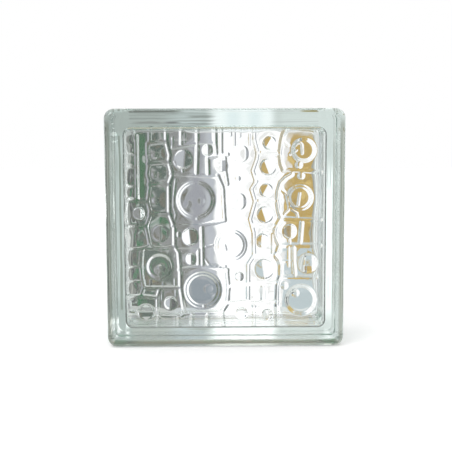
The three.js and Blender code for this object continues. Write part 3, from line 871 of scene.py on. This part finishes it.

# A narrow frame close behind the lips, round the pane: it carries the painted light and shade that the rim
# shows. Further back, its outer sides.
LEFT_GROUND = (0.39, 0.43, 0.415)
LEFT_PATCHES = [
    (-81.7, 0, 26, 171, 0.2, 3, (0.18, 0.19, 0.17)),
    (-84, -81.8, 26, 166, 0.2, 7, (0.6, 0.62, 0.6)),
    (-FAR, -84, 26, 166, 0.3, 7, (0.47, 0.51, 0.49)),
    (-FAR, 0, 14, 168, 1, 9, (0.3, 0.33, 0.31), 1.3, 60, 0.56),
    (-FAR, 0, 172, FAR, 1, 3, (0.36, 0.385, 0.37)),
    # Painted highlight at the foot of the left rim, near its corner.
    (-FAR, -83.2, 5, 11, 1.2, 2.5, (1.4, 1.4, 1.4)),
]
# A dark strip on the left of the frame: painted shade, a line of it down the rim.
SHADE_LINE_COLOUR = (0.24, 0.265, 0.235)
LEFT_OUTER_PATCHES = [
    (-86.3, -84.7, 20, 166, 0.3, 7, (0.36, 0.36, 0.32)),
    (-84.6, 0, 20, 172, 0.2, 3, (0.18, 0.19, 0.17)),
    (-FAR, -86.5, 26, 166, 0.3, 7, (0.5, 0.54, 0.53)),
    (-FAR, 0, 14, 168, 1, 9, (0.34, 0.37, 0.35), 1.3, 60, 0.58),
    (-FAR, 0, 173, FAR, 1, 3, (0.36, 0.385, 0.37)),
    # Painted highlight at the foot of the left rim, near its corner.
    (-88, 0, 3, 9, 1.2, 2.5, (1.2, 1.2, 1.2)),
    (-FAR, -93, 97, 117, 0.5, 3, (2, 2, 2)),
]
RIGHT_GROUND = (0.62, 0.65, 0.64)
RIGHT_PATCHES = [
    (0, 82.2, 22, 164, 0.3, 8, (0.5, 0.52, 0.5)),
    (82.2, FAR, 26, 164, 0.3, 8, (0.84, 0.9, 0.89)),
    (0, FAR, 14, 168, 1, 9, (0.66, 0.7, 0.69), 1.5, 60, 0.64),
]
RIGHT_OUTER_PATCHES = [
    (0, 87.4, 22, 166, 0.3, 8, (0.44, 0.45, 0.42)),
    (88.1, 94.3, 10, 141, 0.4, 12, (1.03, 1.04, 1.04)),
    (94.3, FAR, 10, 164, 0.4, 8, (0.47, 0.49, 0.46)),
    (0, FAR, 14, 168, 1, 9, (0.66, 0.7, 0.69), 1.5, 60, 0.64),
]
TOP_GROUND = (0.36, 0.385, 0.37)
TOP_PATCHES = [
    (-45, -12, 0, FAR, 14, 3, (0.46, 0.5, 0.5)),
    (-12, 44, 0, FAR, 6, 3, (0.86, 0.88, 0.89)),
    (44, FAR, 0, FAR, 8, 3, (0.62, 0.65, 0.64)),
    (2, 14, 176, 190, 5, 4, (0.74, 0.79, 0.81)),
    (20, 31, 176, 190, 5, 4, (0.74, 0.79, 0.81)),
    (-FAR, -38, 0, 176.4, 6, 0.4, (0.13, 0.14, 0.13)),
    (-38, 66, 0, 174.8, 10, 0.3, (0.6, 0.62, 0.62)),
    (66, 88, 0, 176, 3, 0.3, (0.3, 0.25, 0.11)),
    (-50, -39, 180, 181.8, 4, 0.8, (0.17, 0.17, 0.17)),
    (-75, -53, 180.3, 181.6, 6, 0.6, (0.24, 0.24, 0.23)),
    (-44, -20, 186, 188, 4, 0.8, (0.3, 0.31, 0.31)),
    (-FAR, -10, 0, FAR, 8, 3, (0.27, 0.285, 0.275), 60, 1.4, 0.58),
    (44, FAR, 0, FAR, 8, 3, (0.5, 0.52, 0.51), 60, 1.4, 0.58),
]
FOOT_GROUND = (0.43, 0.445, 0.425)
FOOT_PATCHES = [
    (-45, -12, 0, FAR, 12, 1, (0.5, 0.54, 0.56)),
    (-12, 46, 0, FAR, 8, 1, (1.2, 1.2, 1.2)),
    (46, FAR, 0, FAR, 8, 1, (0.63, 0.66, 0.65)),
    (-FAR, -12, 0, 10, 8, 1, (0.36, 0.38, 0.36), 60, 1.4, 0.58),
]
# Flat, behind the block and under it. A patch here is low x, high x, low y, high y.
TABLE_GROUND = (0.53, 0.57, 0.545)
TABLE_PATCHES = [
    (-45, -12, -FAR, FAR, 12, 25, (0.66, 0.7, 0.71)),
    (-12, 48, -FAR, FAR, 10, 25, (1.25, 1.25, 1.25)),
    (48, FAR, -FAR, FAR, 10, 15, (0.76, 0.8, 0.79)),
    # Under the front of the block, on the under card: a painted shadow of the block on its table.
    (-FAR, FAR, -FAR, -14, 10, 2, (0.25, 0.27, 0.26)),
]
# Beside the block, close to it and further off. A patch here is low y, high y, low z, high z.
LEFT_FLANK_GROUND = (0.5, 0.55, 0.53)
RIGHT_FLANK_GROUND = (0.9, 0.93, 0.92)
# Toward the front the flanks are dark: painted shade for the dark line along the edge of the hollow.
FLANK_PATCHES = [(-FAR, -13, -FAR, FAR, 2, 5, (0.05, 0.055, 0.05))]
SIDE_GROUND = (0.6, 0.63, 0.63)
LEFT_SIDE_PATCHES = [
    (100, FAR, -FAR, FAR, 10, 5, (0.75, 0.8, 0.8)),
    (-FAR, FAR, 68, 94, 10, 3, (2.2, 2.2, 2.2)),
]
TOP_COLOUR = (0.56, 0.49, 0.39)
ROOM_COLOUR = (0.5, 0.52, 0.53)

BACKDROP_Y = 300
FRAME_Y = 42
OUTER_Y = 60
LEFT_IN, RIGHT_IN = -80.7, 80  # inner edges of the frame's sides
FRAME_TOP = 215
FLANK_X = 99
FLANK_EDGES = ((-34, 22), (2, 195))
SIDE_X = 260
SIDE_EDGES = ((-200, BACKDROP_Y), (-300, 600))

# The cards: name, the axis that each stands across and its place there, its edges along the two other
# axes in turn, in millimetres, and its ground colour and patches.
CARDS = [
    ("backdrop_card", "Y", BACKDROP_Y, (-600, 600), (-400, 700), BACKDROP_GROUND, BACKDROP_PATCHES),
    ("frame_card_left", "Y", FRAME_Y, (-85.9, LEFT_IN), (2, FRAME_TOP), LEFT_GROUND, LEFT_PATCHES),
    ("frame_card_left_shade_line", "Y", FRAME_Y, (-89.9, -88.4), (20, 170), SHADE_LINE_COLOUR, []),
    ("frame_card_left_outer", "Y", OUTER_Y, (-112, -83.5), (0, 225), LEFT_GROUND, LEFT_OUTER_PATCHES),
    ("frame_card_right", "Y", FRAME_Y, (RIGHT_IN, 84.4), (2, FRAME_TOP), RIGHT_GROUND, RIGHT_PATCHES),
    ("frame_card_right_outer", "Y", OUTER_Y, (81.8, 112), (0, 225), RIGHT_GROUND, RIGHT_OUTER_PATCHES),
    ("frame_card_top", "Y", FRAME_Y, (LEFT_IN, RIGHT_IN), (173.2, FRAME_TOP), TOP_GROUND, TOP_PATCHES),
    ("frame_card_foot", "Y", FRAME_Y, (LEFT_IN, RIGHT_IN), (2.5, 16.5), FOOT_GROUND, FOOT_PATCHES),
    ("table_card", "Z", 0.5, (-130, 130), (41, 85), TABLE_GROUND, TABLE_PATCHES),
    ("under_card", "Z", -2, (-300, 300), (-60, 41), TABLE_GROUND, TABLE_PATCHES),
    ("left_flank_card", "X", -FLANK_X, *FLANK_EDGES, LEFT_FLANK_GROUND, FLANK_PATCHES),
    ("left_card", "X", -SIDE_X, *SIDE_EDGES, SIDE_GROUND, LEFT_SIDE_PATCHES),
    ("right_flank_card", "X", FLANK_X, *FLANK_EDGES, RIGHT_FLANK_GROUND, FLANK_PATCHES),
    ("right_card", "X", SIDE_X, *SIDE_EDGES, SIDE_GROUND, []),
    ("top_card", "Z", 480, (-600, 600), (-200, BACKDROP_Y), TOP_COLOUR, []),
]

# The room in front, and a row of small lamps there, which the pane mirrors.
ROOM_Y = -900
ROOM_EDGES = ((-1500, 1500), (-300, 1800))
LAMP_Y = -140
LAMPS = [(-102.2, 187.4), (-101.6, 181.6), (-101, 176.3), (-100.2, 171.1), (-99.3, 165.8)]
LAMP_HALF = 0.8
LAMP_COLOUR = (4.5, 4.8, 4.7)

# Metres, watts and degrees.
FLOOR_HALF = 6.0
WORLD_LIGHT = 0.92
SOFT_LIGHT_SIZE = (0.8, 0.6)
SOFT_LIGHT_POWER = 6
SOFT_LIGHT_PLACE = (-0.7, -0.8, 1.1)
SOFT_LIGHT_AIM = (0, 0, 0.1)
CAMERA_BESIDE = -0.0065
CAMERA_TURNS = (0.67, 5.58, -0.2)  # to the right, down, and over to the right
SENSOR_WIDTH = 36.0  # millimetres

# How often light may bend or bounce in the glass.
BOUNCES = 40
GLOSSY_BOUNCES = 24


# ---- Operators ----


def linked(name, data):
    made = bpy.data.objects.new(name, data)
    bpy.context.scene.collection.objects.link(made)
    return made


def rectangle(name, across, place, first, second):
    """A flat rectangle across one axis, between its edges along the two others in turn, in metres."""
    (low, high), (foot, top) = first, second
    corners = [[low, foot], [high, foot], [high, top], [low, top]]
    for corner in corners:
        corner.insert("XYZ".index(across), place)
    mesh = bpy.data.meshes.new(name)
    mesh.from_pydata(corners, [], [(0, 1, 2, 3)])
    return linked(name, mesh)


class GLASSBLOCK_OT_body(bpy.types.Operator):
    """Build the fused glass body, with the relief inside its front pane"""

    bl_idname = "glassblock.body"
    bl_label = "Glass Body"

    def execute(self, context):
        scene = context.scene
        mesh = glass_mesh("fused_glass_body", scene.block_sizes, scene.relief_sizes)
        mesh.materials.append(clear_glass(scene.glass_look))
        mesh.materials.append(keyed_glass(scene.glass_look))
        body = linked("fused_glass_body", mesh)
        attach(body, "root")
        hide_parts("front_half", "back_half")
        return {"FINISHED"}


class GLASSBLOCK_OT_studio(bpy.types.Operator):
    """Set up the floor, the cards behind the glass, the light and the camera"""

    bl_idname = "glassblock.studio"
    bl_label = "Studio"

    def execute(self, context):
        scene = context.scene
        look = scene.studio_look
        self.floor(look)
        self.cards()
        self.mirrored()
        self.light(scene)
        self.camera(scene, look)
        return {"FINISHED"}

    def floor(self, look):
        edges = (-FLOOR_HALF, FLOOR_HALF)
        floor = rectangle("floor", "Z", 0, edges, edges)
        floor.data.materials.append(white_floor(look.floor))
        floor.visible_transmission = False

    def card(self, name, across, place, first, second, material):
        """A card that the camera sees only by way of the glass. Its lengths are millimetres."""
        first, second = ([edge * MM for edge in edges] for edges in (first, second))
        card = rectangle(name, across, place * MM, first, second)
        card.data.materials.append(material)
        card.visible_camera = False
        card.visible_diffuse = False
        card.visible_shadow = False
        card.visible_glossy = False
        return card

    def cards(self):
        for name, across, place, first, second, ground, patches in CARDS:
            paint = painted_card(name, ground, patches, "XYZ".replace(across, ""))
            self.card(name, across, place, first, second, paint)

    def mirrored(self):
        """What the pane mirrors, from in front of it."""
        room = painted_card("room_card", ROOM_COLOUR, [])
        self.card("room_card", "Y", ROOM_Y, *ROOM_EDGES, room).visible_glossy = True
        paint = painted_card("lamp_row", LAMP_COLOUR, [])
        for number, (x, z) in enumerate(LAMPS):
            first, second = ((middle - LAMP_HALF, middle + LAMP_HALF) for middle in (x, z))
            self.card("lamp_%d" % number, "Y", LAMP_Y, first, second, paint).visible_glossy = True

    def light(self, scene):
        world = bpy.data.worlds.new("studio")
        scene.world = world
        world.use_nodes = True
        shader = Shader(world.node_tree)
        path = shader.node("ShaderNodeLightPath")
        kinds = ("Is Camera Ray", "Is Glossy Ray", "Is Transmission Ray")
        straight, mirrored, through = (Value(shader, path.outputs[kind]) for kind in kinds)
        seen = straight.at_least(mirrored).at_least(through)
        light, white = (
            shader.node("ShaderNodeBackground", inputs={"Color": WHITE, "Strength": strength}).outputs[0]
            for strength in (WORLD_LIGHT, 1.0)
        )
        sky = shader.node("ShaderNodeMixShader", inputs={0: seen, 1: light, 2: white})
        shader.node("ShaderNodeOutputWorld", inputs={"Surface": sky.outputs[0]})
        lamp = bpy.data.lights.new("soft_key", "AREA")
        lamp.shape = "RECTANGLE"
        lamp.size, lamp.size_y = SOFT_LIGHT_SIZE
        lamp.energy = SOFT_LIGHT_POWER
        key = linked("soft_key", lamp)
        key.location = SOFT_LIGHT_PLACE
        key.rotation_euler = (Vector(SOFT_LIGHT_AIM) - key.location).to_track_quat("-Z", "Y").to_euler()

    def camera(self, scene, look):
        data = bpy.data.cameras.new("camera")
        data.sensor_width = SENSOR_WIDTH
        data.lens = look.lens
        camera = linked("camera", data)
        yaw, pitch, roll = (math.radians(turn) for turn in CAMERA_TURNS)
        forward = Vector((math.sin(yaw) * math.cos(pitch), math.cos(yaw) * math.cos(pitch), -math.sin(pitch)))
        level = Vector((math.cos(yaw), -math.sin(yaw), 0))
        upright = level.cross(forward)
        right = level * math.cos(roll) + upright * math.sin(roll)
        up = upright * math.cos(roll) - level * math.sin(roll)
        place = Matrix((right, up, -forward)).transposed().to_4x4()
        place.translation = (CAMERA_BESIDE, -look.distance - BLOCK_DEPTH / 2 * MM, look.height)
        camera.matrix_world = place
        scene.camera = camera
        scene.view_settings.view_transform = "Standard"
        scene.cycles.max_bounces = BOUNCES
        scene.cycles.transmission_bounces = BOUNCES
        scene.cycles.glossy_bounces = GLOSSY_BOUNCES


class GLASSBLOCK_PT_panel(bpy.types.Panel):
    """Lists what builds the block"""

    bl_label = "Glass Block"
    bl_idname = "GLASSBLOCK_PT_panel"
    bl_space_type = "VIEW_3D"
    bl_region_type = "UI"
    bl_category = "Glass Block"

    def draw(self, context):
        for group_name in GROUPS:
            group = getattr(context.scene, group_name)
            box = self.layout.box()
            for name in group.__annotations__:
                box.prop(group, name)
        for operator in OPERATORS:
            self.layout.operator(operator.bl_idname)


OPERATORS = (GLASSBLOCK_OT_body, GLASSBLOCK_OT_studio)
GROUPS = {
    "block_sizes": BlockSizes,
    "relief_sizes": ReliefSizes,
    "glass_look": GlassLook,
    "studio_look": StudioLook,
}


def register():
    for kind in (*GROUPS.values(), *OPERATORS, GLASSBLOCK_PT_panel):
        bpy.utils.register_class(kind)
    for name, group in GROUPS.items():
        setattr(bpy.types.Scene, name, bpy.props.PointerProperty(type=group))


def unregister():
    for name in GROUPS:
        delattr(bpy.types.Scene, name)
    for kind in reversed((*GROUPS.values(), *OPERATORS, GLASSBLOCK_PT_panel)):
        bpy.utils.unregister_class(kind)


def main():
    register()
    bpy.ops.glassblock.body()
    bpy.ops.glassblock.studio()


if __name__ == "__main__":
    main()
